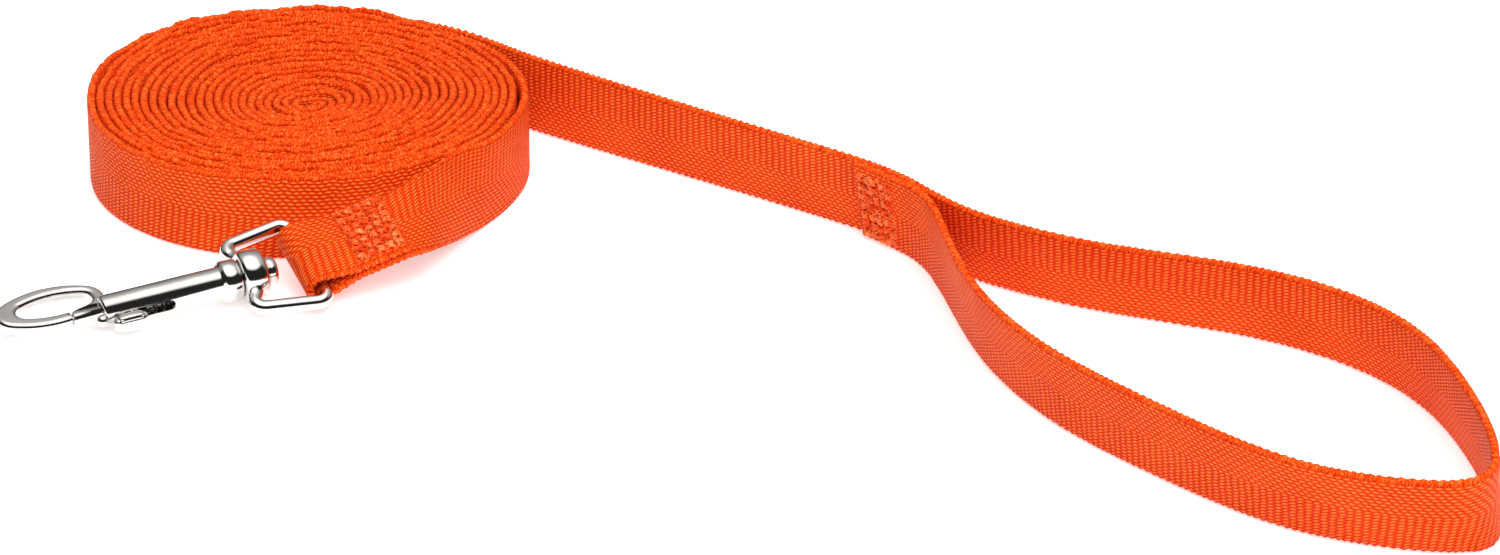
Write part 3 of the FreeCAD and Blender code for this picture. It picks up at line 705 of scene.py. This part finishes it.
# --------------------------------------------------------------- snap parts
def polished(node, body, material):
    """Smooth-shaded copy of a node's mesh, which stands for the node."""
    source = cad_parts[node]
    mesh = source.data.copy()
    mesh.name = node + "_polished"
    build = bmesh.new()
    build.from_mesh(mesh)
    bmesh.ops.remove_doubles(build, verts=build.verts, dist=1e-6)
    build.to_mesh(mesh)
    build.free()
    mesh.polygons.foreach_set("use_smooth", [True] * len(mesh.polygons))
    mesh.set_sharp_from_angle(angle=math.radians(35))
    mesh.materials.clear()
    mesh.materials.append(material)
    piece = bpy.data.objects.new(node + "_polished", mesh)
    bpy.context.scene.collection.objects.link(piece)
    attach(piece, body)
    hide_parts(node)
    return piece


# the snap's own axes: from the bar to the nose, out through the slot, across
SNAP_FRAME = np.array([-SNAP_AXIS, rolled(SNAP_AXIS, HOOK_ROLL),
                       (-SNAP_AXIS).cross(rolled(SNAP_AXIS, HOOK_ROLL))])
KNOB_LOW = np.array([38.8, 4.1, -2.1])
KNOB_HIGH = np.array([46.8, 7.5, 2.1])


def pebble_knob(piece):
    """Turn the thumb stud's boxy knob into a worn pebble of the same size."""
    remesh = piece.modifiers.new("fine", "REMESH")
    remesh.mode = "VOXEL"
    remesh.voxel_size = 0.15 * MM
    bpy.context.view_layer.update()
    graph = bpy.context.evaluated_depsgraph_get()
    mesh = bpy.data.meshes.new_from_object(piece.evaluated_get(graph))
    piece.modifiers.clear()
    points = np.zeros(len(mesh.vertices) * 3)
    mesh.vertices.foreach_get("co", points)
    local = (points.reshape(-1, 3) / MM - np.array(BAR_CENTRE)) @ SNAP_FRAME.T
    middle, half = (KNOB_LOW + KNOB_HIGH) / 2, (KNOB_HIGH - KNOB_LOW) / 2
    knob = local[:, 1] > KNOB_LOW[1] - 0.05
    share = (local[knob] - middle) / half
    reach = np.abs(share).max(axis=1) / (np.abs(share) ** PEBBLE_POWER).sum(
        axis=1) ** (1 / PEBBLE_POWER)
    local[knob] = middle + share * reach[:, None] * half
    points = (local @ SNAP_FRAME + np.array(BAR_CENTRE)) * MM
    mesh.vertices.foreach_set("co", points.ravel())
    build = bmesh.new()
    build.from_mesh(mesh)
    for _ in range(8):
        bmesh.ops.smooth_vert(build, verts=build.verts, factor=0.5, use_axis_x=True,
                              use_axis_y=True, use_axis_z=True)
    build.to_mesh(mesh)
    build.free()
    mesh.polygons.foreach_set("use_smooth", [True] * len(mesh.polygons))
    piece.data = mesh


for node, body in (("swivel_eye", "eye"), ("swivel_rivet", "snap"), ("hook_body", "snap"),
                   ("bolt", "gate"), ("thumb_stud", "gate")):
    part = polished(node, body, NICKEL)
    if node == "thumb_stud":
        pebble_knob(part)
spring = polished("bolt_spring", "snap", SPRING)
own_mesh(spring)


# -------------------------------------------------------------------- stage
def plain_plane(name, corners, material):
    """One-face mesh through its corners, in metres."""
    mesh = bpy.data.meshes.new(name)
    mesh.from_pydata(corners, [], [tuple(range(len(corners)))])
    mesh.materials.append(material)
    plane = bpy.data.objects.new(name, mesh)
    bpy.context.scene.collection.objects.link(plane)
    return plane


def floor_material():
    """Pale floor with a weak glow of its own, so that it comes out white."""
    t = Tree("floor")
    t.set(Roughness=0.8, Emission_Strength=0.45)
    t.shader.inputs["Base Color"].default_value = (0.85, 0.85, 0.85, 1)
    t.shader.inputs["Emission Color"].default_value = (1.0, 1.0, 1.0, 1)
    return t.material


FLOOR_HALF = 6.0
FLOOR_LEVEL = -0.0002
plain_plane("floor", [(x * FLOOR_HALF, y * FLOOR_HALF, FLOOR_LEVEL)
                      for x, y in ((-1, -1), (1, -1), (1, 1), (-1, 1))], floor_material())


def soft_light(name, location, target, size, power):
    """Rectangular area light aimed at a point, which metal doesn't mirror."""
    data = bpy.data.lights.new(name, "AREA")
    data.shape = "RECTANGLE"
    data.size, data.size_y = size
    data.energy = power
    light = bpy.data.objects.new(name, data)
    light.location = location
    aim = Vector(target) - Vector(location)
    light.rotation_euler = aim.to_track_quat("-Z", "Y").to_euler()
    light.visible_glossy = False
    bpy.context.scene.collection.objects.link(light)


soft_light("key", (0.45, -1.1, 1.1), (0.08, -0.05, 0), (1.0, 0.8), 20)
soft_light("fill", (-0.9, -1.0, 0.8), (0.05, -0.05, 0), (0.9, 0.9), 3)
soft_light("back", (0.1, 1.2, 1.3), (0.1, 0, 0), (1.6, 0.6), 7)
WORLD_STRENGTH = 1.5


def studio_world():
    """White ceiling over dark walls, so that the metal gets clear bands."""
    world = bpy.data.worlds.new("studio")
    world.use_nodes = True
    nodes, links = world.node_tree.nodes, world.node_tree.links
    where = nodes.new("ShaderNodeTexCoord")
    split = nodes.new("ShaderNodeSeparateXYZ")
    links.new(where.outputs["Generated"], split.inputs[0])

    def brightness(factor, stops):
        ramp = nodes.new("ShaderNodeValToRGB")
        elements = ramp.color_ramp.elements
        while len(elements) < len(stops):
            elements.new(0.5)
        for element, (position, level) in zip(elements, stops):
            element.position = position
            element.color = (level, level * 0.99, level * 0.97, 1.0)
        links.new(factor, ramp.inputs[0])
        return ramp.outputs[0]

    # sine of the height above the horizon, and the brightness there: the
    # wall in front is dark a long way up, the wall behind only low down
    front = brightness(split.outputs[2], [(0.0, 0.75), (0.02, 0.25), (0.04, 0.015),
                                          (0.68, 0.015), (0.75, 0.55), (0.82, 1.0)])
    behind = brightness(split.outputs[2], [(0.0, 0.75), (0.02, 0.30), (0.05, 0.02),
                                           (0.24, 0.02), (0.36, 0.14), (0.62, 0.26),
                                           (0.80, 0.42), (0.93, 1.0)])
    side = nodes.new("ShaderNodeMapRange")
    side.inputs["From Min"].default_value = -0.10
    side.inputs["From Max"].default_value = 0.15
    links.new(split.outputs[1], side.inputs["Value"])
    blend = nodes.new("ShaderNodeMix")
    blend.data_type = "RGBA"
    links.new(side.outputs[0], blend.inputs[0])
    links.new(front, blend.inputs[6])
    links.new(behind, blend.inputs[7])
    background = nodes["Background"]
    links.new(blend.outputs[2], background.inputs[0])
    background.inputs[1].default_value = WORLD_STRENGTH
    bpy.context.scene.world = world


studio_world()
bpy.context.scene.view_settings.view_transform = "Standard"
